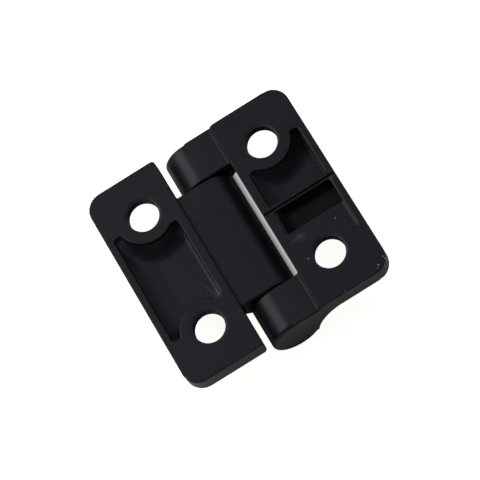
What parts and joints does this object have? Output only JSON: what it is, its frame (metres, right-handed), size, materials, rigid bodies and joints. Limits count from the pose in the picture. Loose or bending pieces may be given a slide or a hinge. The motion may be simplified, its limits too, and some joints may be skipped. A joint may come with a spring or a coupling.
{
  "type": "door hinge",
  "caption": "Square surface-mounted door hinge in black die-cast zinc, with a hidden pin, a split frame leaf, countersunk screw holes and pocketed backs.",
  "frame": {"origin": "centre of the hinge's outline, on the barrel's lowest line", "axes": "+X from the door leaf to the frame leaf, +Y along the pin towards the upper half of the frame leaf, +Z out of the mounting faces"},
  "size_m": [0.05, 0.05, 0.0125],
  "materials": {
    "casting": "black satin powder coat on die-cast zinc",
    "pin": "ground stainless steel",
    "bush": "natural acetal"
  },
  "bodies": {
    "frame": {"frame_leaf_upper": "casting", "frame_leaf_lower": "casting", "hinge_pin": "pin"},
    "door": {"door_leaf": "casting", "upper_bush": "bush", "lower_bush": "bush"}
  },
  "joints": [
    {"name": "leaf_swing", "type": "hinge", "parent": "frame", "child": "door", "pos_m": [0, 0, 0.0058], "axis": [0, -1, 0], "range_deg": [-90, 180]}
  ]
}
